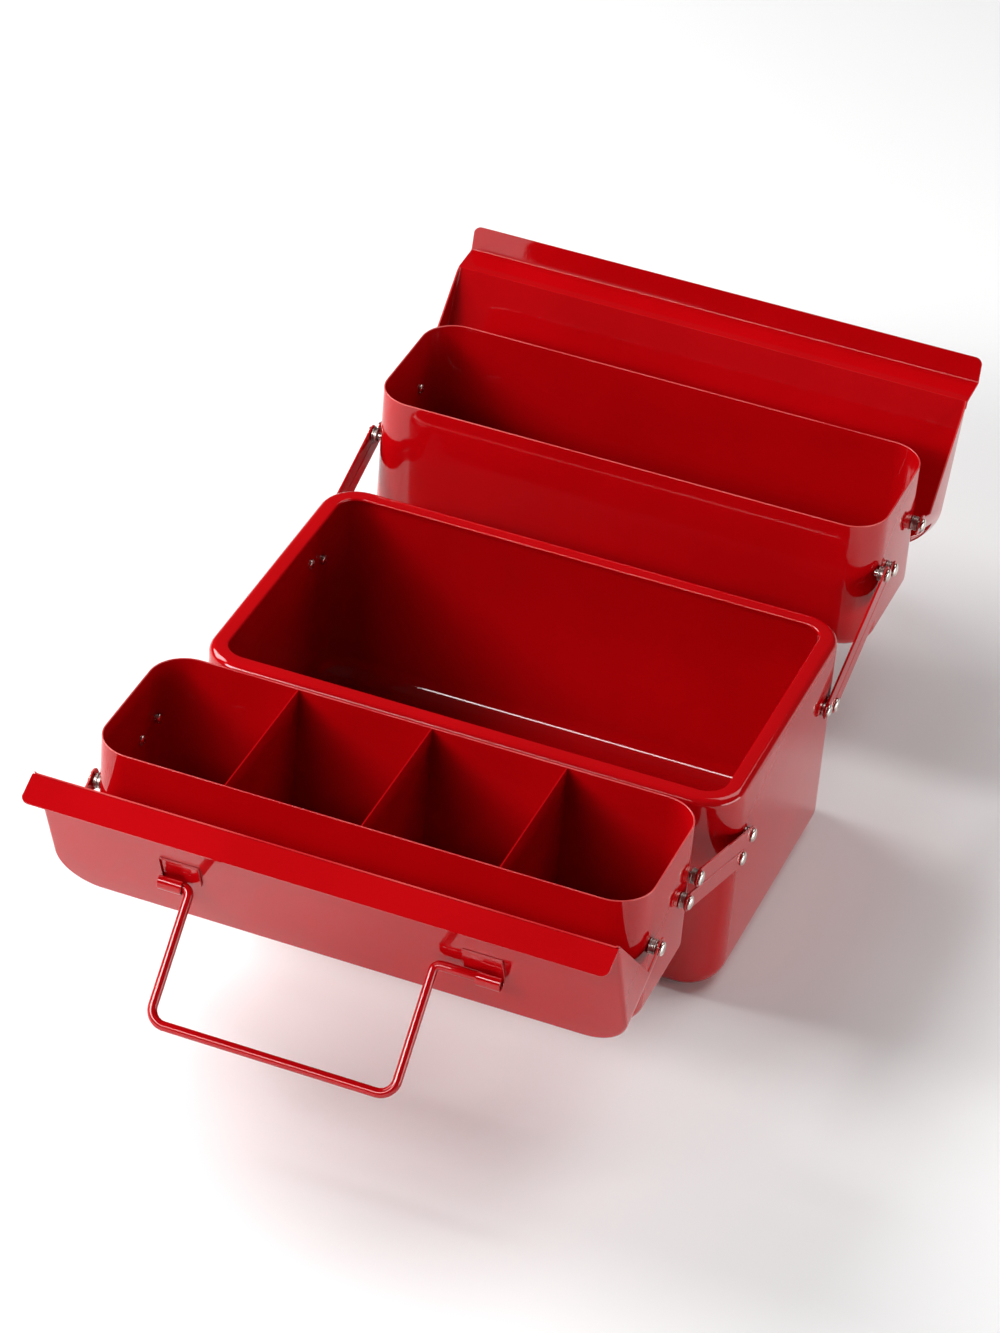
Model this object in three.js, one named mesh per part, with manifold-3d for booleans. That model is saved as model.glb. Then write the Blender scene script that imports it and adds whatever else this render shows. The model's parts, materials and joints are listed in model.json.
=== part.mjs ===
// Steel cantilever toolbox, standing open: a deep base box, two trays that swing up and outwards on
// parallel links, and a lid with a wire handle hinged on each tray.
// Millimetres. +X right along the length, +Y back, +Z up. Origin: centre of the base's underside.
// The front half is the rear half turned 180 degrees about Z, so each half is built facing +Y.
import * as THREE from 'three';
import { mergeVertices } from 'three/addons/utils/BufferGeometryUtils.js';
import Module from 'manifold-3d';

const wasm = await Module();
wasm.setup();

// ---- driving dimensions ----
const GAP = 0.3;               // running gap between pieces that touch
const BASE = { length: 350, width: 220, height: 146, corner: 26, foot: 16, shoulder: 5, sheet: 1 };
const RIM = { width: 12, lip: 4 };                 // flange turned in at the mouth, with its edge turned down
const TRAY = { length: 346, width: 109.4, height: 94, corner: 24, foot: 8, sheet: 1 };
const LID = { length: 360, depth: 111.4, sheet: 1, corner: 28, fold: 3, skirt: 19, headroom: 13 };
const FLANGE = { height: 19.1, lean: 5 };          // upstand along the front lid's free edge
const CAP = { setBack: 10, rise: 21.5, start: 0.6, reach: 17.2, drop: 3.7 };   // rear lid's folded free edge
const EAR = { halfWidth: 4.5, radius: 6.5, notch: 36, taperStart: 5 };
const LINK = { width: 11.4, thick: 1.5, inner: 177 };   // inner: distance from the centre plane to its back face
const BASE_PIVOT_A = { y: 72, z: 104 };            // inner link's pivot on the base end wall
const PIVOT_STEP = { y: 17.2, z: -6.2 };           // from the inner link's pivot to the outer link's
const TRAY_PIVOT_A = { inward: 38.7, z: 54.7 };  // inner link's pivot on the tray, from its middle and underside
const OPEN_ANGLE = 20.6;       // links above the horizontal, resting edge on edge
const LID_PIVOT = { outward: 31.3, z: 52.2 };      // from the tray's middle and underside
const LID_OPEN = 111.8;        // lid turned back from closed
const RIVET = { shank: 2.4, hole: 2.7, head: 4.5, headHeight: 2, tail: 3.5, tailHeight: 1.5, shoulder: 4.2 };
const SPACER = 5;              // outer radius of the washers
const HANDLE = { wire: 3, width: 153, reach: 80, shortArm: 19.5, longArm: 38, topBend: 4.5, endBend: 10 };
const HANDLE_AXIS = { fromSeam: 69.5, standOff: 5.2 };
const HANDLE_SHIFT = 11;       // towards the short arm
const HANDLE_REST = 25.2;      // from square off the lid towards its outer edge
const CLIP = { inner: 3.5, outer: 4.9, from: 92, to: 107, plateFrom: 82, plate: 18 };   // from the lid's middle
const DIVIDERS = 3;
const DIVIDER_SHEET = 1;
const CURVE = 8;               // facets in a quarter turn of a box corner
const ROUND = 12;              // facets round a rivet

// ---- derived ----
const rad = THREE.MathUtils.degToRad;
const closedTrayY = TRAY.width / 2 + GAP;
const closedTrayZ = BASE.height + GAP;
const closedLinkY = closedTrayY - TRAY_PIVOT_A.inward - BASE_PIVOT_A.y;
const closedLinkZ = closedTrayZ + TRAY_PIVOT_A.z - BASE_PIVOT_A.z;
const linkLength = Math.hypot(closedLinkY, closedLinkZ);
const openLinkY = linkLength * Math.cos(rad(OPEN_ANGLE));
const openLinkZ = linkLength * Math.sin(rad(OPEN_ANGLE));
const trayY = BASE_PIVOT_A.y + openLinkY + TRAY_PIVOT_A.inward;
const trayZ = BASE_PIVOT_A.z + openLinkZ - TRAY_PIVOT_A.z;
const lidTop = TRAY.height + LID.headroom + LID.sheet - LID_PIVOT.z;       // lid's outer face above its pivot, closed
const seam = -(TRAY.width / 2 + LID_PIVOT.outward);               // free edge of the lid from its pivot, closed

// ---- materials ----
const enamel = () => new THREE.MeshStandardMaterial({ color: 0xb20310, roughness: 0.22, metalness: 0.1 });
const nickel = () => new THREE.MeshStandardMaterial({ color: 0xa89d92, roughness: 0.3, metalness: 1 });
const steel = () => new THREE.MeshStandardMaterial({ color: 0x77706a, roughness: 0.4, metalness: 1 });

// ---- solids ----
function solid(geometry) {
  const plain = geometry.clone();
  plain.deleteAttribute('normal');
  plain.deleteAttribute('uv');
  const merged = mergeVertices(plain, 1e-4);
  const mesh = new wasm.Mesh({
    numProp: 3,
    vertProperties: new Float32Array(merged.attributes.position.array),
    triVerts: new Uint32Array(merged.index.array),
  });
  return new wasm.Manifold(mesh);
}

function geometryOf(manifold) {
  const mesh = manifold.getMesh();
  const geometry = new THREE.BufferGeometry();
  geometry.setAttribute('position', new THREE.BufferAttribute(new Float32Array(mesh.vertProperties), 3));
  geometry.setIndex(new THREE.BufferAttribute(new Uint32Array(mesh.triVerts), 1));
  geometry.computeVertexNormals();
  return geometry;
}

function roundedRect(length, width, corner) {
  const x = length / 2;
  const y = width / 2;
  const shape = new THREE.Shape();
  shape.absarc(x - corner, y - corner, corner, 0, Math.PI / 2);
  shape.absarc(corner - x, y - corner, corner, Math.PI / 2, Math.PI);
  shape.absarc(corner - x, corner - y, corner, Math.PI, 1.5 * Math.PI);
  shape.absarc(x - corner, corner - y, corner, 1.5 * Math.PI, 2 * Math.PI);
  shape.closePath();
  return shape;
}

// Upright block on a plan outline, from bottom to top, both ends rounded over by the edge radius.
function block(shape, bottom, top, edge = 0) {
  const geometry = new THREE.ExtrudeGeometry(shape, {
    depth: top - bottom - 2 * edge,
    bevelEnabled: edge > 0,
    bevelThickness: edge,
    bevelSize: edge,
    bevelOffset: -edge,
    bevelSegments: 4,
    curveSegments: CURVE,
  });
  geometry.translate(0, 0, bottom + edge);
  return geometry;
}

// Outline drawn in Y and Z, run along X from x0 to x1.
function alongX(shape, x0, x1, facets = CURVE) {
  const geometry = new THREE.ExtrudeGeometry(shape, { depth: x1 - x0, bevelEnabled: false, curveSegments: facets });
  const turn = new THREE.Matrix4();
  turn.makeBasis(new THREE.Vector3(0, 1, 0), new THREE.Vector3(0, 0, 1), new THREE.Vector3(1, 0, 0));
  geometry.applyMatrix4(turn);
  geometry.translate(x0, 0, 0);
  return geometry;
}

function outline(points) {
  return new THREE.Shape(points.map(([a, b]) => new THREE.Vector2(a, b)));
}

function crossHole(y, z, x0, x1) {
  const geometry = new THREE.CylinderGeometry(RIVET.hole, RIVET.hole, x1 - x0, ROUND);
  geometry.rotateZ(Math.PI / 2);
  geometry.translate((x0 + x1) / 2, y, z);
  return solid(geometry);
}

// Turned piece on the X axis, its profile given as [x, radius] from the centre plane outwards.
function turned(profile, facets = ROUND) {
  const points = profile.map(([x, r]) => new THREE.Vector2(r, x));
  const geometry = new THREE.LatheGeometry(points, facets);
  geometry.rotateZ(-Math.PI / 2);
  return geometry;
}

function boxAt(x0, x1, y0, y1, z0, z1) {
  const geometry = new THREE.BoxGeometry(x1 - x0, y1 - y0, z1 - z0);
  geometry.translate((x0 + x1) / 2, (y0 + y1) / 2, (z0 + z1) / 2);
  return solid(geometry);
}

function named(name, geometry, material) {
  const mesh = new THREE.Mesh(geometry, material);
  mesh.name = name;
  return mesh;
}

// ---- base box ----
function basePivots() {
  const a = BASE_PIVOT_A;
  return [a, { y: a.y + PIVOT_STEP.y, z: a.z + PIVOT_STEP.z }];
}

function baseBox() {
  const { length, width, height, corner, foot, shoulder, sheet } = BASE;
  const inset = (by) => roundedRect(length - 2 * by, width - 2 * by, corner - by);
  const footed = solid(block(inset(0), 0, height + 40, foot));
  const shouldered = solid(block(inset(0), -40, height, shoulder));
  const hollowFoot = solid(block(inset(sheet), sheet, height + 40, foot - sheet));
  const hollowTop = solid(block(inset(sheet), -40, height - sheet, shoulder - sheet));
  const lip = solid(block(inset(RIM.width - sheet), height - RIM.lip, height - sheet / 2));
  const mouth = solid(block(inset(RIM.width), height - RIM.lip - 1, height + 1));
  let box = footed.intersect(shouldered).subtract(hollowFoot.intersect(hollowTop));
  box = box.add(lip).subtract(mouth);
  for (const pivot of basePivots()) {
    for (const side of [-1, 1]) {
      box = box.subtract(crossHole(side * pivot.y, pivot.z, -length / 2 - 5, length / 2 + 5));
    }
  }
  return geometryOf(box);
}

// ---- trays ----
function trayPivots() {
  const a = { y: -TRAY_PIVOT_A.inward, z: TRAY_PIVOT_A.z };
  return [a, { y: a.y + PIVOT_STEP.y, z: a.z + PIVOT_STEP.z }];
}

// Inner face of an end wall, at the far side of a rivet's tail, allowing for the corner's curve.
function wallAt(box, y) {
  const inner = box.corner - box.sheet;
  const into = Math.max(Math.abs(y) + RIVET.tail - (box.width / 2 - box.corner), 0);
  return box.length / 2 - box.corner + Math.sqrt(inner ** 2 - into ** 2);
}

function trayPan() {
  const { length, width, height, corner, foot, sheet } = TRAY;
  const outer = solid(block(roundedRect(length, width, corner), 0, height + 40, foot));
  const innerShape = roundedRect(length - 2 * sheet, width - 2 * sheet, corner - sheet);
  const inner = solid(block(innerShape, sheet, height + 60, foot - sheet));
  const above = boxAt(-length, length, -width, width, height, height + 80);
  let pan = outer.subtract(inner).subtract(above);
  for (const pivot of [...trayPivots(), { y: LID_PIVOT.outward, z: LID_PIVOT.z }]) {
    pan = pan.subtract(crossHole(pivot.y, pivot.z, -length / 2 - 5, length / 2 + 5));
  }
  return geometryOf(pan);
}

// Inner face of the lid's end wall at the outer side of the washers on its pivot.
function lidWall() {
  const inner = LID.corner - LID.sheet;
  const into = Math.max(SPACER - (seam + LID.depth - LID.corner), 0);
  return LID.length / 2 - LID.corner + Math.sqrt(inner ** 2 - into ** 2);
}

// Upright plate across the tray with a foot folded along the floor.
function divider() {
  const y = TRAY.width / 2 - TRAY.sheet - GAP;
  const floor = TRAY.sheet + GAP;
  const bend = TRAY.foot;
  const shape = new THREE.Shape();
  shape.moveTo(-y, TRAY.height - GAP);
  shape.lineTo(-y, floor + bend);
  shape.absarc(-y + bend, floor + bend, bend, Math.PI, 1.5 * Math.PI);
  shape.absarc(y - bend, floor + bend, bend, 1.5 * Math.PI, 2 * Math.PI);
  shape.lineTo(y, TRAY.height - GAP);
  shape.closePath();
  const plate = solid(alongX(shape, -DIVIDER_SHEET / 2, DIVIDER_SHEET / 2, 4));
  const foot = boxAt(0, 11, -y + bend, y - bend, floor, floor + DIVIDER_SHEET);
  return geometryOf(plate.add(foot));
}

// ---- links and fasteners ----
function link() {
  const r = LINK.width / 2;
  const shape = new THREE.Shape();
  shape.absarc(linkLength, 0, r, -Math.PI / 2, Math.PI / 2);
  shape.absarc(0, 0, r, Math.PI / 2, 1.5 * Math.PI);
  shape.closePath();
  for (const at of [0, linkLength]) {
    const hole = new THREE.Path();
    hole.absarc(at, 0, RIVET.hole, 0, 2 * Math.PI, true);
    shape.holes.push(hole);
  }
  return alongX(shape, -LINK.thick / 2, LINK.thick / 2, 6);
}

// Rivet from its tail inside the wall to its domed head; the shoulder fills the space up to the link.
function rivet(wallInside, headFrom, shoulder) {
  const { shank, head, headHeight, tail, tailHeight } = RIVET;
  const tailTo = wallInside - GAP;
  const profile = [
    [tailTo - tailHeight, 0],
    [tailTo - tailHeight, tail * 0.6],
    [tailTo - tailHeight * 0.5, tail * 0.95],
    [tailTo, tail],
    [tailTo, shank],
  ];
  if (shoulder) {
    profile.push([shoulder[0], shank], [shoulder[0], RIVET.shoulder]);
    profile.push([shoulder[1], RIVET.shoulder], [shoulder[1], shank]);
  }
  profile.push([headFrom, shank], [headFrom, head]);
  profile.push([headFrom + headHeight * 0.45, head * 0.93], [headFrom + headHeight * 0.85, head * 0.6]);
  profile.push([headFrom + headHeight, 0]);
  return turned(profile);
}

// Stack of washers drawn as one turned sleeve with grooves between them.
function spacer(from, to, count) {
  const pitch = (to - from) / count;
  const profile = [];
  for (let i = 0; i < count; i += 1) {
    const start = from + i * pitch;
    profile.push([start, i === 0 ? SPACER : SPACER - 0.7]);
    if (i > 0) {
      profile.push([start + 0.3, SPACER - 0.7], [start + 0.3, SPACER]);
    }
    profile.push([start + pitch, SPACER]);
    if (i < count - 1) {
      profile.push([start + pitch, SPACER - 0.7]);
    }
  }
  const clean = profile.filter((p, i) => i === 0 || p[0] !== profile[i - 1][0] || p[1] !== profile[i - 1][1]);
  clean.push([to, RIVET.hole], [from, RIVET.hole], [from, SPACER]);
  return turned(clean);
}

// ---- lids, drawn closed with the pivot at the origin ----
function lidShell(from) {
  const plan = (by) => {
    const x = LID.length / 2 - by;
    const far = seam + LID.depth - by;
    const r = LID.corner - by;
    const shape = new THREE.Shape();
    shape.moveTo(-x, seam - 60);
    shape.lineTo(x, seam - 60);
    shape.absarc(x - r, far - r, r, 0, Math.PI / 2);
    shape.absarc(r - x, far - r, r, Math.PI / 2, Math.PI);
    shape.closePath();
    return shape;
  };
  const outer = solid(block(plan(0), -60, lidTop, LID.fold));
  const inner = solid(block(plan(LID.sheet), -80, lidTop - LID.sheet, LID.fold - LID.sheet));
  const earTip = new THREE.Shape();
  earTip.moveTo(seam + from, lidTop + 5);
  earTip.lineTo(seam + from, lidTop - EAR.taperStart);
  earTip.lineTo(-EAR.halfWidth, lidTop - EAR.notch);
  earTip.absarc(0, 0, EAR.radius, rad(137), rad(403));
  earTip.lineTo(EAR.halfWidth, lidTop - LID.skirt);
  earTip.lineTo(seam + LID.depth + 5, lidTop - LID.skirt);
  earTip.lineTo(seam + LID.depth + 5, lidTop + 5);
  earTip.closePath();
  const kept = solid(alongX(earTip, -LID.length, LID.length, 6));
  return outer.subtract(inner).intersect(kept).subtract(crossHole(0, 0, -LID.length, LID.length));
}

function frontLid() {
  const half = LID.length / 2;
  const upstand = new THREE.Shape();
  const r = 5;
  upstand.moveTo(-half, -LID.sheet * 0.9);
  upstand.lineTo(half, -LID.sheet * 0.9);
  upstand.absarc(half - r, FLANGE.height - r, r, 0, Math.PI / 2);
  upstand.absarc(r - half, FLANGE.height - r, r, Math.PI / 2, Math.PI);
  upstand.closePath();
  const strip = new THREE.ExtrudeGeometry(upstand, { depth: LID.sheet, bevelEnabled: false, curveSegments: 3 });
  strip.rotateX(Math.PI / 2 - rad(FLANGE.lean));
  strip.translate(0, seam + LID.sheet, lidTop);
  return geometryOf(lidShell(0).add(solid(strip)));
}

// Centre line of a fold offset to both sides by half the sheet.
function foldedSheet(line, thick) {
  const sideAt = (sign) => line.map((p, i) => {
    const before = line[Math.max(i - 1, 0)];
    const after = line[Math.min(i + 1, line.length - 1)];
    const d1 = new THREE.Vector2(p[0] - before[0], p[1] - before[1]);
    const d2 = new THREE.Vector2(after[0] - p[0], after[1] - p[1]);
    if (d1.length() === 0) d1.copy(d2);
    if (d2.length() === 0) d2.copy(d1);
    const n1 = new THREE.Vector2(-d1.y, d1.x).normalize();
    const n2 = new THREE.Vector2(-d2.y, d2.x).normalize();
    const n = n1.clone().add(n2).normalize();
    const by = (sign * thick / 2) / n.dot(n1);
    return [p[0] + n.x * by, p[1] + n.y * by];
  });
  return outline([...sideAt(1), ...sideAt(-1).reverse()]);
}

function rearLid() {
  const half = LID.length / 2;
  const mid = lidTop - LID.sheet / 2;
  const line = [
    [seam + CAP.setBack + 4, mid],
    [seam + CAP.setBack + 0.7, mid],
    [seam + CAP.setBack - 0.4, mid + 0.8],
    [seam + CAP.start + 0.8, mid + CAP.rise - 1],
    [seam + CAP.start - 0.6, mid + CAP.rise],
    [seam + CAP.start - CAP.reach, mid + CAP.rise - CAP.drop],
  ];
  const cap = solid(alongX(foldedSheet(line, LID.sheet), -half, half));
  return geometryOf(lidShell(CAP.setBack).add(cap));
}

// Clip: a plate on the lid, its outer end rolled round the handle's arm. Origin on the handle's axis.
function clip(side) {
  const low = -CLIP.outer;
  const shape = new THREE.Shape();
  shape.moveTo(-CLIP.plate, low);
  shape.absarc(0, 0, CLIP.outer, -Math.PI / 2, rad(190));
  shape.absarc(0, 0, CLIP.inner, rad(190), -Math.PI / 2, true);
  shape.lineTo(-CLIP.plate, -CLIP.inner);
  shape.closePath();
  const [x0, x1] = [side * CLIP.from, side * CLIP.to].sort((a, b) => a - b);
  const [p0, p1] = [side * CLIP.plateFrom, side * (CLIP.from + 1)].sort((a, b) => a - b);
  const plate = boxAt(p0, p1, -CLIP.plate, 0, low, -CLIP.inner);
  return geometryOf(solid(alongX(shape, x0, x1, 6)).add(plate));
}

// ---- wire handle, legs along +Z, arms on the X axis ----
class ThroughPoints extends THREE.Curve {
  constructor(points) {
    super();
    this.points = points;
  }

  getPointAt(u) {
    return this.points[Math.round(u * (this.points.length - 1))].clone();
  }

  getTangentAt(u) {
    const i = Math.round(u * (this.points.length - 1));
    const a = this.points[Math.max(i - 1, 0)];
    const b = this.points[Math.min(i + 1, this.points.length - 1)];
    return b.clone().sub(a).normalize();
  }
}

function handleWire() {
  const { wire, width, reach, shortArm, longArm, topBend, endBend } = HANDLE;
  const half = width / 2;
  const side = [];
  const bend = (cx, cz, r, from, to, steps) => {
    for (let i = 0; i <= steps; i += 1) {
      const a = rad(from + (to - from) * i / steps);
      side.push(new THREE.Vector3(cx + r * Math.cos(a), 0, cz + r * Math.sin(a)));
    }
  };
  side.push(new THREE.Vector3(half + shortArm, 0, 0));
  bend(half + topBend, topBend, topBend, 270, 180, 5);
  bend(half - endBend, reach - endBend, endBend, 0, 90, 6);
  const mirrored = side.map((p) => new THREE.Vector3(-p.x, p.y, p.z)).reverse();
  mirrored[mirrored.length - 1].x = -half - longArm;
  const path = new ThroughPoints([...side, ...mirrored]);
  const section = new THREE.Shape();
  section.absarc(0, 0, wire, 0, 2 * Math.PI);
  const count = path.points.length - 1;
  return new THREE.ExtrudeGeometry(section, { steps: count, extrudePath: path, bevelEnabled: false, curveSegments: 5 });
}

// ---- assembly ----
function place(mesh, x, y, z) {
  mesh.position.set(x, y, z);
  return mesh;
}

// A turned piece drawn for the +X end; the -X end is its half turn about Z.
function atEnd(mesh, side, y, z) {
  mesh.rotation.z = side > 0 ? 0 : Math.PI;
  return place(mesh, 0, y, z);
}

function half(name) {
  const front = name === 'front';
  const endName = (side) => ((side > 0) === front ? 'left' : 'right');
  const ends = [-1, 1];
  const linkHead = LINK.inner + LINK.thick + GAP;
  const group = new THREE.Group();
  const wallShoulder = [BASE.length / 2 + GAP, LINK.inner - GAP];
  const linkPlane = LINK.inner + LINK.thick / 2;
  ['a', 'b'].forEach((letter, i) => {
    const pivot = basePivots()[i];
    for (const side of ends) {
      const arm = named(`${name}_link_${letter}_${endName(side)}`, link(), enamel());
      arm.rotation.x = rad(OPEN_ANGLE);
      group.add(place(arm, side * linkPlane, pivot.y, pivot.z));
      const pin = rivet(wallAt(BASE, pivot.y), linkHead, wallShoulder);
      group.add(atEnd(named(`${name}_base_rivet_${letter}_${endName(side)}`, pin, nickel()), side, pivot.y, pivot.z));
    }
  });

  const tray = new THREE.Group();
  tray.position.set(0, trayY, trayZ);
  tray.add(named(`${name}_tray`, trayPan(), enamel()));
  const spacerFrom = TRAY.length / 2 + GAP;
  ['a', 'b'].forEach((letter, i) => {
    const pivot = trayPivots()[i];
    for (const side of ends) {
      const pin = rivet(wallAt(TRAY, pivot.y), linkHead, null);
      const sleeve = spacer(spacerFrom, LINK.inner - GAP, 2);
      tray.add(atEnd(named(`${name}_tray_rivet_${letter}_${endName(side)}`, pin, nickel()), side, pivot.y, pivot.z));
      tray.add(atEnd(named(`${name}_tray_washers_${letter}_${endName(side)}`, sleeve, steel()), side, pivot.y, pivot.z));
    }
  });
  for (const side of ends) {
    const pin = rivet(wallAt(TRAY, LID_PIVOT.outward), LID.length / 2 + GAP, null);
    const sleeve = spacer(spacerFrom, lidWall() - GAP, 3);
    const at = [side, LID_PIVOT.outward, LID_PIVOT.z];
    tray.add(atEnd(named(`${name}_lid_rivet_${endName(side)}`, pin, nickel()), ...at));
    tray.add(atEnd(named(`${name}_lid_washers_${endName(side)}`, sleeve, steel()), ...at));
  }
  if (front) {
    const bay = (TRAY.length - 2 * TRAY.sheet) / (DIVIDERS + 1);
    for (let i = 0; i < DIVIDERS; i += 1) {
      const plate = named(`front_divider_${i + 1}`, divider(), enamel());
      tray.add(place(plate, bay * ((DIVIDERS - 1) / 2 - i), 0, 0));
    }
  }

  const lid = new THREE.Group();
  lid.position.set(0, LID_PIVOT.outward, LID_PIVOT.z);
  lid.rotation.x = -rad(LID_OPEN);
  lid.add(named(`${name}_lid`, front ? frontLid() : rearLid(), enamel()));
  const axisY = seam + HANDLE_AXIS.fromSeam;
  const axisZ = lidTop + HANDLE_AXIS.standOff;
  for (const side of ends) {
    lid.add(place(named(`${name}_clip_${endName(side)}`, clip(side), enamel()), 0, axisY, axisZ));
  }
  const handle = named(`${name}_handle`, handleWire(), enamel());
  handle.rotation.x = -rad(HANDLE_REST);
  lid.add(place(handle, HANDLE_SHIFT, axisY, axisZ));
  tray.add(lid);
  group.add(tray);
  group.rotation.z = front ? Math.PI : 0;
  return group;
}

const toolbox = new THREE.Group();
toolbox.add(named('base_box', baseBox(), enamel()));
toolbox.add(half('front'));
toolbox.add(half('rear'));

export default toolbox;
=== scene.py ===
# Looks of the cantilever toolbox. Each sheet, bar, rivet and wire is rebuilt finer than its CAD node,
# in the same place and size, with rounded edges and procedural enamel, nickel and steel.
# Lengths in the code are millimetres; MM turns them into the frame's metres.
import json
from math import atan2, cos, hypot, pi, radians, sin, sqrt

import bmesh
import bpy
from mathutils import Matrix, Vector


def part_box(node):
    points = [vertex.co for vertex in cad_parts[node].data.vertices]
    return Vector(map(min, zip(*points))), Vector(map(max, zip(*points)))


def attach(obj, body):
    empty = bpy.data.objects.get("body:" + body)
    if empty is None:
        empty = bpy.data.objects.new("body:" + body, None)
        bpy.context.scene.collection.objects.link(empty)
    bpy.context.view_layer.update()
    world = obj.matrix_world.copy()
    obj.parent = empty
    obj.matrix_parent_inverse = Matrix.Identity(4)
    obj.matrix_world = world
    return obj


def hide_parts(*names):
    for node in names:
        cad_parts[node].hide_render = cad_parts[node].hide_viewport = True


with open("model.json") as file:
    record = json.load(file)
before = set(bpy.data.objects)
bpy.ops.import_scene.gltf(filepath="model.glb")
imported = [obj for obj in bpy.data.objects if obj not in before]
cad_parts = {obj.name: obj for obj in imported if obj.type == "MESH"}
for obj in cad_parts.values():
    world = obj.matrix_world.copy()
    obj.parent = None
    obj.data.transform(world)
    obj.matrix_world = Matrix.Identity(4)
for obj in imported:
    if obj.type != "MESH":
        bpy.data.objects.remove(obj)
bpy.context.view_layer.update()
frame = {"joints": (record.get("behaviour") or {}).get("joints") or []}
scene = bpy.context.scene
MM = 0.001

# ---------------------------------------------------------------- sizes that the frame doesn't state
SHEET = 1.0
BASE_R, BASE_FOOT, SHOULDER, RIM, LIP = 26, 16, 5, 12, 2
TRAY_R, TRAY_FOOT = 24, 8
LID_LEN, LID_DEPTH, LID_R, LID_FOLD, SKIRT = 360, 111.4, 28, 3, 19
LID_TOP, SEAM = 55.8, -86.0            # lid's outer face and free edge from its pivot, closed
LID_OPEN, HANDLE_REST = 111.8, 25.2
FLANGE, FLANGE_LEAN = 19.1, 5
CAP_BACK, CAP_RISE, CAP_START, CAP_REACH, CAP_DROP = 10, 21.5, 0.6, 17.2, 3.7
EAR_HALF, EAR_R, EAR_NOTCH, EAR_TAPER = 4.5, 6.5, 36, 1.6
LINK_IN, LINK_T, LINK_W = 177, 1.5, 11.4
WIRE, GRIP_W, REACH, SHORT_ARM, LONG_ARM = 3.0, 153, 80, 19.5, 38
CLIP_IN, CLIP_OUT, CLIP_FROM, CLIP_TO, PLATE_FROM, CLIP_PLATE = 3.5, 4.9, 92, 107, 82, 18
HANDLE_SHIFT = 11
HOLE, SHANK = 2.7, 2.4                 # radii of the rivet holes and shanks
STACK_FROM = 173.3                     # where a washer stack starts, just off the tray's end wall
BASE_SHOULDER = (175.3, 176.7)         # collar on a base rivet between the base's wall and the bar
ROLL = 1.2                             # outer radius where the base's rim turns down

joints = {j["name"]: j for j in frame["joints"]}


def pivot(joint):
    return Vector(joints[joint]["pos_m"]) / MM


# ---------------------------------------------------------------- materials
def new_material(name):
    mat = bpy.data.materials.new(name)
    mat.use_nodes = True
    nodes, links = mat.node_tree.nodes, mat.node_tree.links
    return mat, nodes, links, nodes["Principled BSDF"]


def noise(nodes, links, coords, scale, detail=3.0, rough=0.5):
    n = nodes.new("ShaderNodeTexNoise")
    n.inputs["Scale"].default_value = scale
    n.inputs["Detail"].default_value = detail
    n.inputs["Roughness"].default_value = rough
    links.new(coords.outputs["Object"], n.inputs["Vector"])
    return n


def mapped(nodes, links, source, low, high, to_low, to_high):
    m = nodes.new("ShaderNodeMapRange")
    m.inputs["From Min"].default_value, m.inputs["From Max"].default_value = low, high
    m.inputs["To Min"].default_value, m.inputs["To Max"].default_value = to_low, to_high
    links.new(source, m.inputs["Value"])
    return m.outputs["Result"]


def bumps(nodes, links, layers):
    """Chains bump layers of (height, distance in metres, strength) and returns the last one's normal."""
    normal = None
    for height, distance, strength in layers:
        b = nodes.new("ShaderNodeBump")
        b.inputs["Distance"].default_value = distance
        b.inputs["Strength"].default_value = strength
        links.new(height, b.inputs["Height"])
        if normal is not None:
            links.new(normal, b.inputs["Normal"])
        normal = b.outputs["Normal"]
    return normal


def enamel(name, light, dark, rough=0.045, edge=False):
    """Stoved enamel: uneven coat, orange peel, sparse dust specks and soft handling marks."""
    mat, nodes, links, bsdf = new_material(name)
    coords = nodes.new("ShaderNodeTexCoord")
    broad = noise(nodes, links, coords, 14, 4)
    peel = noise(nodes, links, coords, 620, 2)
    wave = noise(nodes, links, coords, 17, 1)
    smear = noise(nodes, links, coords, 55, 5, 0.6)
    mix = nodes.new("ShaderNodeMix")
    mix.data_type = "RGBA"
    mix.inputs["A"].default_value = (*dark, 1)
    mix.inputs["B"].default_value = (*light, 1)
    links.new(mapped(nodes, links, broad.outputs["Fac"], 0.35, 0.65, 0, 1), mix.inputs["Factor"])
    links.new(mix.outputs["Result"], bsdf.inputs["Base Color"])
    span = 0.10 if edge else 0.035
    gloss = mapped(nodes, links, smear.outputs["Fac"], 0.4, 0.75, rough, rough + span)
    links.new(gloss, bsdf.inputs["Roughness"])
    specks = nodes.new("ShaderNodeTexVoronoi")
    specks.inputs["Scale"].default_value = 90
    specks.inputs["Randomness"].default_value = 1
    links.new(coords.outputs["Object"], specks.inputs["Vector"])
    dot = mapped(nodes, links, specks.outputs["Distance"], 0.0, 0.035, 1, 0)
    layers = [(wave.outputs["Fac"], 0.0010, 0.10), (peel.outputs["Fac"], 0.00004, 0.10), (dot, 0.00006, 0.25)]
    links.new(bumps(nodes, links, layers), bsdf.inputs["Normal"])
    bsdf.inputs["IOR"].default_value = 1.5
    return mat


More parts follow.
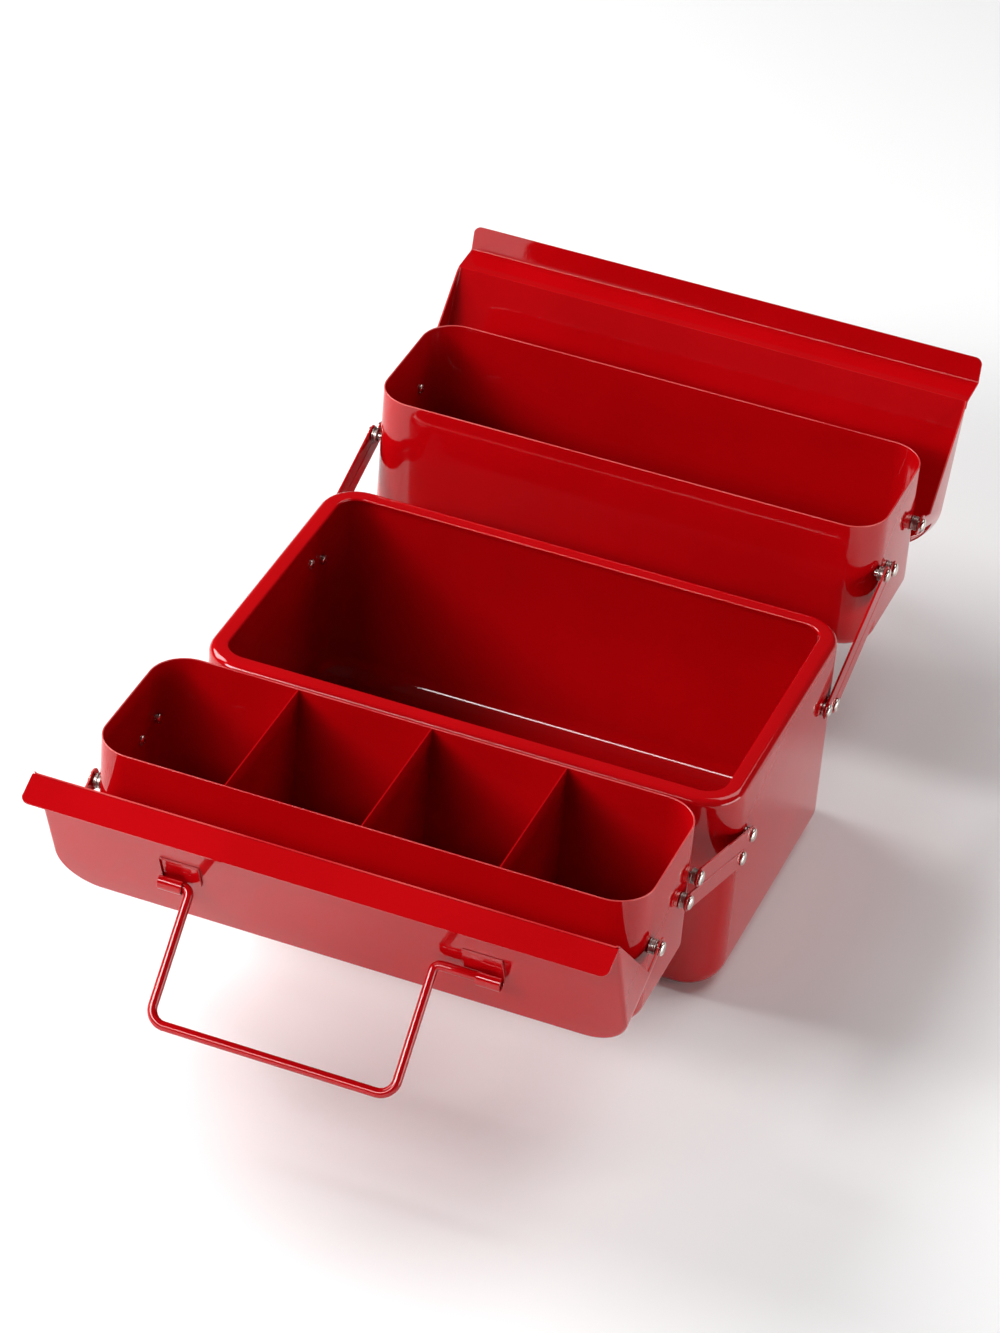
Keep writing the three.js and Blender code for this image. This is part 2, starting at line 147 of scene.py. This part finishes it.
def metal(name, colour, dull, rough, scratch):
    """Plated metal: cloudy tone, fine turned or tumbled scratches, small dents."""
    mat, nodes, links, bsdf = new_material(name)
    coords = nodes.new("ShaderNodeTexCoord")
    cloud = noise(nodes, links, coords, 260, 4)
    fine = noise(nodes, links, coords, 1900, 3, 0.7)
    mix = nodes.new("ShaderNodeMix")
    mix.data_type = "RGBA"
    mix.inputs["A"].default_value = (*dull, 1)
    mix.inputs["B"].default_value = (*colour, 1)
    links.new(mapped(nodes, links, cloud.outputs["Fac"], 0.35, 0.6, 0, 1), mix.inputs["Factor"])
    links.new(mix.outputs["Result"], bsdf.inputs["Base Color"])
    gloss = mapped(nodes, links, cloud.outputs["Fac"], 0.3, 0.7, rough, rough + 0.16)
    links.new(gloss, bsdf.inputs["Roughness"])
    layers = [(cloud.outputs["Fac"], 0.0001, 0.25), (fine.outputs["Fac"], 0.00003, scratch)]
    links.new(bumps(nodes, links, layers), bsdf.inputs["Normal"])
    bsdf.inputs["Metallic"].default_value = 1.0
    return mat


RED = enamel("enamel_red", (0.425, 0.0010, 0.0030), (0.385, 0.0008, 0.0024))
# Edge enamel: its lighter, pinker red is a painted highlight standing in for light catching the raw sheet
# edges; its higher roughness is the edge's own.
EDGE_HIGHLIGHT = enamel("enamel_edge_painted_highlight", (0.60, 0.075, 0.070), (0.47, 0.015, 0.018), 0.16, True)
# The warm pink of the nickel colours is partly nickel's own tint and partly a painted reflection of the red
# enamel around the rivets.
NICKEL = metal("nickel_plate", (0.80, 0.73, 0.67), (0.52, 0.46, 0.42), 0.18, 0.3)
STEEL = metal("washer_steel", (0.62, 0.57, 0.53), (0.34, 0.30, 0.28), 0.28, 0.5)


# ---------------------------------------------------------------- mesh tools
def arc(cx, cy, r, a0, a1, steps):
    """Points on an arc, angles in degrees, both ends included."""
    turn = [radians(a0 + (a1 - a0) * i / steps) for i in range(steps + 1)]
    return [(cx + r * cos(t), cy + r * sin(t)) for t in turn]


def loft(rings, cap=True, edge_rows=()):
    """Closed surface through rings of equal length; quads between rings, the ends capped."""
    verts = [p for ring in rings for p in ring]
    n = len(rings[0])
    faces, slots = [], []
    for i in range(len(rings) - 1):
        for k in range(n):
            a, b = i * n + k, i * n + (k + 1) % n
            faces.append((a, b, b + n, a + n))
            slots.append(1 if i in edge_rows else 0)
    if cap:
        faces.append(tuple(reversed(range(n))))
        faces.append(tuple(range(len(verts) - n, len(verts))))
        slots += [0, 0]
    return verts, faces, slots


def move(mesh, place):
    """Places a mesh by a matrix whose translation is in mm."""
    m = place.copy()
    m.translation *= MM
    mesh.transform(m)


def make(name, data, materials, place=None, sharp=40):
    """A Blender object from (verts in mm, faces, material slots), placed by a matrix in mm."""
    verts, faces, slots = data
    mesh = bpy.data.meshes.new(name)
    mesh.from_pydata([Vector(v) * MM for v in verts], [], faces)
    for mat in materials:
        mesh.materials.append(mat)
    mesh.polygons.foreach_set("material_index", slots)
    bm = bmesh.new()
    bm.from_mesh(mesh)
    bmesh.ops.remove_doubles(bm, verts=bm.verts, dist=1e-7)
    bmesh.ops.recalc_face_normals(bm, faces=bm.faces)
    bm.to_mesh(mesh)
    bm.free()
    if place is not None:
        move(mesh, place)
    shade(mesh, sharp)
    obj = bpy.data.objects.new(name, mesh)
    scene.collection.objects.link(obj)
    return obj


def shade(mesh, sharp=40):
    mesh.polygons.foreach_set("use_smooth", [True] * len(mesh.polygons))
    mesh.set_sharp_from_angle(angle=radians(sharp))
    mesh.update()


def boolean(target, cutter, operation):
    """Applies a boolean and removes the cutter."""
    mod = target.modifiers.new("cut", "BOOLEAN")
    mod.operation, mod.solver, mod.object = operation, "EXACT", cutter
    bpy.context.view_layer.update()
    dg = bpy.context.evaluated_depsgraph_get()
    result = bpy.data.meshes.new_from_object(target.evaluated_get(dg), depsgraph=dg)
    old = target.data
    target.modifiers.clear()
    target.data = result
    bpy.data.meshes.remove(old)
    bpy.data.objects.remove(cutter)
    shade(result, 32)
    return target


def stand_in(obj, node, body):
    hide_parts(node)
    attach(obj, body)
    return obj


def rounded_rect(hx, hy, r, z, steps=16):
    pts = []
    for cx, cy, a in ((1, 1, 0), (-1, 1, 90), (-1, -1, 180), (1, -1, 270)):
        pts += [(x, y, z) for x, y in arc(cx * (hx - r), cy * (hy - r), r, a, a + 90, steps)]
    return pts


def along_x(profile, x0, x1, round_by=0.2):
    """Prism of a YZ profile along X, its two ends eased inwards a little."""
    rings = []
    for x, ease in ((x0, round_by), (x0 + round_by, 0), (x1 - round_by, 0), (x1, round_by)):
        rings.append([(x, y, z) for y, z in inset(profile, ease)])
    return loft(rings)


def inset(profile, by):
    """Moves a closed outline inwards by a small amount."""
    if by == 0:
        return profile
    area = sum(a[0] * b[1] - b[0] * a[1] for a, b in zip(profile, profile[1:] + profile[:1]))
    side = 1 if area > 0 else -1
    out = []
    n = len(profile)
    for i, p in enumerate(profile):
        a, b = profile[i - 1], profile[(i + 1) % n]
        t1, t2 = Vector((p[0] - a[0], p[1] - a[1])), Vector((b[0] - p[0], b[1] - p[1]))
        if t1.length < 1e-6 or t2.length < 1e-6:
            out.append(p)
            continue
        n1 = Vector((-t1.y, t1.x)).normalized() * side
        n2 = Vector((-t2.y, t2.x)).normalized() * side
        m = (n1 + n2)
        m = m.normalized() / max(m.normalized().dot(n1), 0.5)
        out.append((p[0] + m.x * by, p[1] + m.y * by))
    return out


def folded(line, thick):
    """The two faces of a sheet folded along a centre line, as point lists."""
    left, right = [], []
    for i, p in enumerate(line):
        a, b = line[max(i - 1, 0)], line[min(i + 1, len(line) - 1)]
        t = Vector((b[0] - a[0], b[1] - a[1])).normalized()
        n = Vector((-t.y, t.x)) * thick / 2
        left.append((p[0] + n.x, p[1] + n.y))
        right.append((p[0] - n.x, p[1] - n.y))
    return left, right


def bend(points, radius, steps=8):
    """A polyline with its inner corners rounded."""
    out = [points[0]]
    for a, p, b in zip(points, points[1:], points[2:]):
        va, vb = Vector(a) - Vector(p), Vector(b) - Vector(p)
        half = va.angle(vb) / 2
        back = radius / abs(sin(half) / cos(half))
        s, e = Vector(p) + va.normalized() * back, Vector(p) + vb.normalized() * back
        c = Vector(p) + (va.normalized() + vb.normalized()).normalized() * radius / sin(half)
        a0 = atan2(s.y - c.y, s.x - c.x)
        a1 = atan2(e.y - c.y, e.x - c.x)
        while a1 - a0 > pi:
            a1 -= 2 * pi
        while a1 - a0 < -pi:
            a1 += 2 * pi
        turns = [a0 + (a1 - a0) * i / steps for i in range(steps + 1)]
        out += [(c.x + radius * cos(turn), c.y + radius * sin(turn)) for turn in turns]
    return out + [points[-1]]


def lathe_x(profile, steps=36):
    """Turned solid on the X axis from (x, radius) points."""
    rings = []
    for x, r in profile:
        rings.append([(x, max(r, 0.001) * cos(2 * pi * k / steps), max(r, 0.001) * sin(2 * pi * k / steps))
                      for k in range(steps)])
    return loft(rings)


# ---------------------------------------------------------------- where each half stands
def half_turn(side):
    return Matrix.Rotation(pi, 4, "Z") if side == "front" else Matrix.Identity(4)


def outward(side, point):
    """A point of the frame in the half's own sense, where +Y is outwards."""
    return Vector((0, abs(point.y), point.z)) if side == "front" else Vector((0, point.y, point.z))


def at(side, y, z):
    return half_turn(side) @ Matrix.Translation((0, y, z))


def end_name(side, end):
    return "left" if (end > 0) == (side == "front") else "right"


# ---------------------------------------------------------------- base box
def base_box():
    low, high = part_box("base_box")
    hx, hy, top = high.x / MM, high.y / MM, high.z / MM
    f, s, t, roll = BASE_FOOT, SHOULDER, SHEET, ROLL
    profile = [(f + 30, 0)] + [(f - y, f + x) for x, y in arc(0, 0, f, -180, -270, 10)]
    profile += [(0, top - s - 40)]
    profile += [(s - x, top - s + y) for x, y in arc(0, 0, s, 0, 90, 9)]
    profile += [(RIM - roll - 2.5, top)]
    profile += [(RIM - roll + x, top - roll + y) for x, y in arc(0, 0, roll, 90, 0, 6)]
    profile += [(RIM, top - LIP + 0.3)] + [(RIM - 0.5 + 0.5 * cos(a), top - LIP + 0.3 + 0.5 * sin(a))
                                         for a in (-0.5, -1.2, -1.9, -2.6)]
    profile += [(RIM - t, top - roll)]
    profile += [(RIM - roll + x, top - roll + y) for x, y in arc(0, 0, roll - t, 20, 90, 2)]
    profile += [(s - x, top - s + y) for x, y in arc(0, 0, s - t, 90, 0, 6)]
    profile += [(t, top - 60)]
    profile += [(f - x, f + y) for x, y in arc(0, 0, f - t, 0, -90, 10)]
    profile += [(f + 30, t)]
    rings = [rounded_rect(hx - i, hy - i, max(BASE_R - i, 0.8), z) for i, z in profile]
    obj = make("base_box_shell", loft(rings), [RED, EDGE_HIGHLIGHT])
    return stand_in(obj, "base_box", "base")


base_box()


# ---------------------------------------------------------------- trays and dividers
def tray_frame(side):
    low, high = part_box(f"{side}_tray")
    y = abs(low.y + high.y) / 2 / MM
    return at(side, y, low.z / MM), (high.x / MM, (high.y - low.y) / 2 / MM, (high.z - low.z) / MM)


def tray(side):
    place, (hx, hy, top) = tray_frame(side)
    f, t = TRAY_FOOT, SHEET
    profile = [(f + 25, 0)] + [(f - y, f + x) for x, y in arc(0, 0, f, -180, -270, 10)]
    profile += [(0, top * 0.5), (0, top - t / 2)]
    first_edge = len(profile) - 1
    profile += [(t / 2 - x, top - t / 2 + y) for x, y in arc(0, 0, t / 2, 22.5, 157.5, 5)]
    profile += [(t, top - t / 2)]
    last_edge = len(profile) - 1
    profile += [(t, top * 0.5)] + [(f - x, f + y) for x, y in arc(0, 0, f - t, 0, -90, 10)]
    profile += [(f + 25, t)]
    rings = [rounded_rect(hx - i, hy - i, max(TRAY_R - i, 0.8), z) for i, z in profile]
    # The rows of the raw top edge take slot 1, the edge enamel whose lighter colour is a painted highlight
    # along the edge.
    shell = loft(rings, edge_rows=range(first_edge, last_edge))
    obj = make(f"{side}_tray_pan", shell, [RED, EDGE_HIGHLIGHT], place, 60)
    stand_in(obj, f"{side}_tray", f"{side}_tray")


def divider(number):
    low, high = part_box(f"front_divider_{number}")
    plate_x = high.x / MM - 0.5
    y = (high.y - low.y) / 2 / MM
    mid_y = (high.y + low.y) / 2 / MM
    z0, z1 = low.z / MM, high.z / MM
    f = TRAY_FOOT
    outline = [(-y, z1), (-y, z0 + f)] + arc(-y + f, z0 + f, f, 180, 270, 8)
    outline += arc(y - f, z0 + f, f, 270, 360, 8)
    outline += [(y, z0 + f), (y, z1)]
    sheet = along_x(outline, plate_x - 0.5, plate_x + 0.5)
    plate = make(f"front_divider_{number}_sheet", sheet, [RED, EDGE_HIGHLIGHT], None, 50)
    line = bend([(plate_x, z0 + 7), (plate_x, z0 + 0.5), (plate_x - 10.5, z0 + 0.5)], 1.6)
    left, right = folded(line, 0.98)
    ring = left + right[::-1]
    rings = [[(x, yy, z) for x, z in ring] for yy in (-y + f, y - f)]
    foot = make("foot", loft(rings), [RED, EDGE_HIGHLIGHT])
    boolean(plate, foot, "UNION")
    plate.data.transform(Matrix.Translation((0, mid_y * MM, 0)))
    stand_in(plate, f"front_divider_{number}", "front_tray")


for side in ("front", "rear"):
    tray(side)
for number in (1, 2, 3):
    divider(number)


# ---------------------------------------------------------------- links, rivets and washers
def link_bar(length):
    r = LINK_W / 2
    rings = []
    for x, ease in ((-0.75, 0.3), (-0.5, 0), (0.5, 0), (0.75, 0.3)):
        outline = arc(length, 0, r - ease, -90, 90, 20) + arc(0, 0, r - ease, 90, 270, 20)
        rings.append([(x * LINK_T / 1.5, y, z) for y, z in outline])
    return loft(rings)


def rivet(tail, head_from, head_to, shoulder=None):
    """Domed head outside, smaller set head inside, on one shank."""
    tall = head_to - head_from
    profile = [(tail - 1.5, 0), (tail - 1.5, 1.3), (tail - 1.35, 2.1), (tail - 0.9, 3.0)]
    profile += [(tail - 0.35, 3.45), (tail, 3.45), (tail, SHANK)]
    if shoulder:
        a, b = shoulder
        profile += [(a, SHANK), (a, 3.9), (a + 0.2, 4.15), (b - 0.2, 4.15), (b, 3.9), (b, SHANK)]
    profile += [(head_from, SHANK), (head_from, 4.25), (head_from + 0.12, 4.45), (head_from + 0.35, 4.5)]
    for turn in [radians(d) for d in (12, 24, 36, 48, 60, 72, 82)]:
        profile += [(head_from + 0.35 + (tall - 0.35) * sin(turn), 4.5 * cos(turn) ** 0.8)]
    profile += [(head_to, 0)]
    return lathe_x(profile)


def washer_stack(start, end, count, radius=4.95):
    """Separate washers with eased rims, a hair apart, as one mesh of closed rings."""
    verts, faces, slots = [], [], []
    pitch = (end - start) / count
    turns = [2 * pi * k / 36 for k in range(36)]
    for i in range(count):
        a = start + i * pitch + 0.04
        b = a + pitch - 0.08
        r = radius - (0.45 if i % 2 else 0)
        profile = [(a, HOLE), (a, r - 0.2), (a + 0.2, r), (b - 0.2, r), (b, r - 0.2), (b, HOLE)]
        rings = [[(x, q * cos(turn), q * sin(turn)) for turn in turns] for x, q in profile]
        v, f, s = loft(rings + [rings[0]], cap=False)
        faces += [tuple(j + len(verts) for j in face) for face in f]
        verts += v
        slots += s
    return verts, faces, slots


def drill(target, place, x0, x1):
    """Cuts a rivet's clearance hole along X through the place's origin."""
    boolean(target, make("hole", lathe_x([(x0, HOLE), (x1, HOLE)]), [RED, EDGE_HIGHLIGHT], place), "DIFFERENCE")


def tail_at(node):
    low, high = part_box(node)
    return min(abs(low.x), abs(high.x)) / MM + 1.5


def link_gear(side):
    h = half_turn(side)
    a0, b0 = outward(side, pivot(f"{side}_link_a_swing")), outward(side, pivot(f"{side}_link_b_swing"))
    a1 = outward(side, pivot(f"{side}_tray_level"))
    b1 = a1 + (b0 - a0)
    swing = atan2(a1.z - a0.z, a1.y - a0.y)
    length = hypot(a1.z - a0.z, a1.y - a0.y)
    lid = outward(side, pivot(f"{side}_lid_hinge"))
    head = LINK_IN + LINK_T + 0.3
    for end in (1, -1):
        tag = end_name(side, end)
        turn = Matrix.Identity(4) if end > 0 else Matrix.Rotation(pi, 4, "Z")
        for letter, base, far in (("a", a0, a1), ("b", b0, b1)):
            spot = Matrix.Translation((end * (LINK_IN + LINK_T / 2), base.y, base.z))
            where = h @ spot @ Matrix.Rotation(swing, 4, "X")
            bar = make(f"{side}_link_{letter}_{tag}_bar", link_bar(length), [RED, EDGE_HIGHLIGHT], where, 50)
            for y in (0, length):
                drill(bar, where @ Matrix.Translation((0, y, 0)), -3, 3)
            stand_in(bar, f"{side}_link_{letter}_{tag}", f"{side}_links_{letter}")
            where = h @ Matrix.Translation((0, base.y, base.z)) @ turn
            node = f"{side}_base_rivet_{letter}_{tag}"
            pin = make(f"{node}_set", rivet(tail_at(node), head, head + 2, BASE_SHOULDER), [NICKEL], where)
            stand_in(pin, node, "base")
            node = f"{side}_tray_rivet_{letter}_{tag}"
            where = h @ Matrix.Translation((0, far.y, far.z)) @ turn
            pin = make(f"{node}_set", rivet(tail_at(node), head, head + 2), [NICKEL], where)
            stand_in(pin, node, f"{side}_tray")
            node = f"{side}_tray_washers_{letter}_{tag}"
            rings = make(f"{node}_rings", washer_stack(STACK_FROM, LINK_IN - 0.3, 3), [STEEL], where)
            stand_in(rings, node, f"{side}_tray")
        where = h @ Matrix.Translation((0, lid.y, lid.z)) @ turn
        node = f"{side}_lid_rivet_{tag}"
        pin = make(f"{node}_set", rivet(tail_at(node), LID_LEN / 2 + 0.3, LID_LEN / 2 + 2.3), [NICKEL], where)
        stand_in(pin, node, f"{side}_tray")
        low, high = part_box(f"{side}_lid_washers_{tag}")
        stack = washer_stack(STACK_FROM, max(abs(low.x), abs(high.x)) / MM, 4)
        rings = make(f"{side}_lid_washers_{tag}_rings", stack, [STEEL], where)
        stand_in(rings, f"{side}_lid_washers_{tag}", f"{side}_tray")


for side in ("front", "rear"):
    link_gear(side)


# ---------------------------------------------------------------- lids
def lid_frame(side):
    p = outward(side, pivot(f"{side}_lid_hinge"))
    return at(side, p.y, p.z) @ Matrix.Rotation(-radians(LID_OPEN), 4, "X")


def lid_pan():
    """Upside-down pan with drawn corners at the far side, longer than needed towards the seam."""
    hx, far, near = LID_LEN / 2, SEAM + LID_DEPTH, SEAM - 60
    mid, hy = (far + near) / 2, (far - near) / 2
    r, t = LID_FOLD, SHEET
    low = LID_TOP - 75
    profile = [(r + 22, LID_TOP)] + [(r - x, LID_TOP - r + y) for x, y in arc(0, 0, r, 90, 0, 8)]
    profile += [(0, low), (t, low)]
    profile += [(r - x, LID_TOP - r + y) for x, y in arc(0, 0, r - t, 0, 90, 8)] + [(r + 22, LID_TOP - t)]
    rings = []
    for i, z in profile:
        rings.append([(x, y + mid, zz) for x, y, zz in rounded_rect(hx - i, hy - i, max(LID_R - i, 0.8), z)])
    return loft(rings)


def kept_outline(start):
    """Side outline of what is kept of the pan: taper, notch, ear round the pivot, skirt."""
    top, skirt = LID_TOP + 5, LID_TOP - SKIRT
    pts = [(SEAM + start, top), (SEAM + start, LID_TOP - EAR_TAPER), (-EAR_HALF, LID_TOP - EAR_NOTCH)]
    pts += arc(0, 0, EAR_R, 137, 403, 26)
    pts += [(EAR_HALF, skirt - 3)] + arc(EAR_HALF + 3, skirt - 3, 3, 180, 90, 6)[1:]
    pts += [(SEAM + LID_DEPTH + 5, skirt), (SEAM + LID_DEPTH + 5, top)]
    return pts


def strip_solid(line, half, corner):
    """Folded strip along X whose free end has rounded corners; line is its centre line, free end last."""
    lengths = [0]
    for a, b in zip(line, line[1:]):
        lengths.append(lengths[-1] + hypot(b[0] - a[0], b[1] - a[1]))
    total = lengths[-1]
    fine = []
    for (a, b), l0 in zip(zip(line, line[1:]), lengths):
        l1 = l0 + hypot(b[0] - a[0], b[1] - a[1])
        fine.append((a, l0))
        for k in range(1, 9):
            cut = total - corner * (1 - sin(radians(90 * k / 8)))
            if l0 + 1e-6 < cut < l1 - 1e-6:
                w = (cut - l0) / (l1 - l0)
                fine.append(((a[0] + (b[0] - a[0]) * w, a[1] + (b[1] - a[1]) * w), cut))
    fine.append((line[-1], total))
    centre = [p for p, _ in fine]
    left, right = folded(centre, SHEET)
    rings = []
    for (p, s), l, r in zip(fine, left, right):
        d = max(s - (total - corner), 0)
        x = half - (corner - sqrt(max(corner * corner - d * d, 0)))
        rings.append([(-x, *l), (x, *l), (x, *r), (-x, *r)])
    return loft(rings)


def lid(side):
    place = lid_frame(side)
    node = f"{side}_lid"
    pan = make(f"{side}_lid_sheet", lid_pan(), [RED, EDGE_HIGHLIGHT])
    start = 0 if side == "front" else CAP_BACK
    outline = kept_outline(start)
    rings = [[(x, y, z) for y, z in outline] for x in (-220, 220)]
    verts, faces, _ = loft(rings)
    # The cut faces take slot 1, the edge enamel whose lighter colour is a painted highlight along the cut
    # sheet edges.
    cutter = make("outline", (verts, faces, [1] * len(faces)), [RED, EDGE_HIGHLIGHT])
    boolean(pan, cutter, "INTERSECT")
    mid = LID_TOP - SHEET / 2
    if side == "front":
        lean = FLANGE * sin(radians(FLANGE_LEAN))
        line = bend([(SEAM + 5, mid), (SEAM + 0.5, mid), (SEAM + 0.5 + lean, LID_TOP + FLANGE)], 1.5)
    else:
        foot, top = (SEAM + CAP_BACK + 0.2, mid), (SEAM + CAP_START, mid + CAP_RISE)
        line = bend([(foot[0] + 5, mid), foot, top, (top[0] - CAP_REACH, top[1] - CAP_DROP)], 2.0)
    strip = make("strip", strip_solid(line, LID_LEN / 2, 5), [RED, EDGE_HIGHLIGHT])
    boolean(pan, strip, "UNION")
    drill(pan, Matrix.Identity(4), -LID_LEN / 2 - 4, LID_LEN / 2 + 4)
    move(pan.data, place)
    shade(pan.data, 32)
    stand_in(pan, node, f"{side}_lid")


for side in ("front", "rear"):
    lid(side)


# ---------------------------------------------------------------- handles and their clips
def handle_frame(side):
    p = outward(side, pivot(f"{side}_handle_swing"))
    return at(side, p.y, p.z) @ Matrix.Rotation(-radians(LID_OPEN), 4, "X")


def clip_outline():
    outer = arc(0, 0, CLIP_OUT, -90, 190, 40)
    inner = arc(0, 0, CLIP_IN, 190, -90, 40)
    return [(-CLIP_PLATE, -CLIP_OUT)] + outer + inner + [(-CLIP_PLATE, -CLIP_IN)]


def wire_mesh(path, r, steps=20):
    """Round wire along a path, with its two ends eased."""
    rings = []
    turns = [2 * pi * k / steps for k in range(steps)]
    for i, p in enumerate(path):
        a, b = path[max(i - 1, 0)], path[min(i + 1, len(path) - 1)]
        t = (b - a).normalized()
        n = Vector((0, 1, 0))
        s = t.cross(n).normalized()
        rings.append([tuple(p + (n * cos(turn) + s * sin(turn)) * r) for turn in turns])
    for end, inner in ((0, 1), (-1, -2)):
        p, q = path[end], path[inner]
        t = (p - q).normalized()
        tip = []
        for d, shrink in ((0.0, 1.0), (0.35, 0.93), (0.6, 0.75)):
            ring = [tuple(Vector(v) + t * (d - 0.6) - (Vector(v) - p) * (1 - shrink)) for v in rings[end]]
            tip.append(ring)
        if end == 0:
            rings = tip[::-1] + rings[1:]
        else:
            rings = rings[:-1] + tip
    return loft(rings)


def handle_path():
    half, r = GRIP_W / 2, 4.5
    side = [(half + SHORT_ARM, 0)] + arc(half + r, r, r, 270, 180, 10)
    side += arc(half - 10, REACH - 10, 10, 0, 90, 14)
    pts = side + [(-x, z) for x, z in reversed(side)]
    pts[-1] = (-half - LONG_ARM, 0)
    return [Vector((x, 0, z)) for x, z in pts]


for side in ("front", "rear"):
    place = handle_frame(side)
    for end in (1, -1):
        tag = end_name(side, end)
        x0, x1 = sorted((end * CLIP_FROM, end * CLIP_TO))
        piece = make(f"{side}_clip_{tag}_roll", along_x(clip_outline(), x0, x1), [RED, EDGE_HIGHLIGHT], None, 40)
        x0, x1 = sorted((end * PLATE_FROM, end * (CLIP_FROM + 1)))
        plate = [(-CLIP_PLATE, -CLIP_OUT), (0, -CLIP_OUT), (0, -CLIP_IN), (-CLIP_PLATE, -CLIP_IN)]
        boolean(piece, make("plate", along_x(plate, x0, x1), [RED, EDGE_HIGHLIGHT]), "UNION")
        move(piece.data, place)
        stand_in(piece, f"{side}_clip_{tag}", f"{side}_lid")
    where = place @ Matrix.Translation((HANDLE_SHIFT, 0, 0)) @ Matrix.Rotation(-radians(HANDLE_REST), 4, "X")
    grip = make(f"{side}_handle_wire", wire_mesh(handle_path(), WIRE), [RED], where)
    stand_in(grip, f"{side}_handle", f"{side}_handle")


# ---------------------------------------------------------------- floor, light and camera
def floor():
    mat, nodes, links, bsdf = new_material("pale_floor")
    coords = nodes.new("ShaderNodeTexCoord")
    tone = noise(nodes, links, coords, 3, 3)
    mix = nodes.new("ShaderNodeMix")
    mix.data_type = "RGBA"
    mix.inputs["A"].default_value = (0.88, 0.88, 0.88, 1)
    mix.inputs["B"].default_value = (0.92, 0.92, 0.92, 1)
    links.new(tone.outputs["Fac"], mix.inputs["Factor"])
    links.new(mix.outputs["Result"], bsdf.inputs["Base Color"])
    bsdf.inputs["Roughness"].default_value = 0.7
    bsdf.inputs["Specular IOR Level"].default_value = 0.2
    mesh = bpy.data.meshes.new("floor")
    mesh.from_pydata([(-7, -7, 0), (7, -7, 0), (7, 7, 0), (-7, 7, 0)], [], [(0, 1, 2, 3)])
    mesh.materials.append(mat)
    obj = bpy.data.objects.new("floor", mesh)
    scene.collection.objects.link(obj)


def sky():
    world = bpy.data.worlds.new("studio")
    scene.world = world
    world.use_nodes = True
    nodes, links = world.node_tree.nodes, world.node_tree.links
    coords = nodes.new("ShaderNodeTexCoord")
    split = nodes.new("ShaderNodeSeparateXYZ")
    ramp = nodes.new("ShaderNodeValToRGB")
    links.new(coords.outputs["Generated"], split.inputs["Vector"])
    links.new(split.outputs["Z"], ramp.inputs["Fac"])
    links.new(ramp.outputs["Color"], nodes["Background"].inputs["Color"])
    ramp.color_ramp.elements[0].position = 0.0
    ramp.color_ramp.elements[0].color = (0.8, 0.8, 0.8, 1)
    ramp.color_ramp.elements[1].position = 0.03
    ramp.color_ramp.elements[1].color = (0.04, 0.04, 0.04, 1)
    nodes["Background"].inputs["Strength"].default_value = 1.0


def softbox(name, where, target, size, power):
    light = bpy.data.lights.new(name, "AREA")
    light.shape, light.size, light.size_y, light.energy = "RECTANGLE", size[0], size[1], power
    obj = bpy.data.objects.new(name, light)
    obj.location = where
    obj.rotation_euler = (Vector(target) - Vector(where)).to_track_quat("-Z", "Y").to_euler()
    scene.collection.objects.link(obj)


def camera():
    az, el, roll, lens = radians(18.711), radians(35.046), radians(4.976), 139.4644861215304
    distance, aside, above = 3283.93, 5.989, 102.15
    back = Vector((sin(az) * cos(el), -cos(az) * cos(el), sin(el)))
    right = Vector((cos(az), sin(az), 0))
    up = back.cross(right)
    x = right * cos(roll) + up * sin(roll)
    y = up * cos(roll) - right * sin(roll)
    cam = bpy.data.cameras.new("camera")
    cam.lens, cam.sensor_width = lens, 36
    cam.clip_end = 50
    obj = bpy.data.objects.new("camera", cam)
    place = Matrix((x, y, back)).transposed().to_4x4()
    place.translation = (back * distance - x * aside + y * above) * MM
    obj.matrix_world = place
    scene.collection.objects.link(obj)
    scene.camera = obj


floor()
sky()
softbox("window", (-1.55, -1.75, 1.5), (0, 0, 0.05), (0.95, 0.85), 46)
softbox("front_strip", (-0.73, -2.1, 1.6), (0, 0, 0.05), (0.9, 0.34), 17)
softbox("side", (-1.95, 0.26, 1.69), (0, 0, 0.0), (1.4, 1.4), 64)
softbox("low_fill", (1.65, -0.1, 0.24), (0.1, 0, 0.1), (1.6, 0.42), 13)
softbox("rear_fill", (0.9, 1.1, 2.1), (0.2, 0.1, 0), (1.5, 1.5), 20)
camera()
scene.view_settings.view_transform = "Standard"
scene.cycles.use_denoising = True
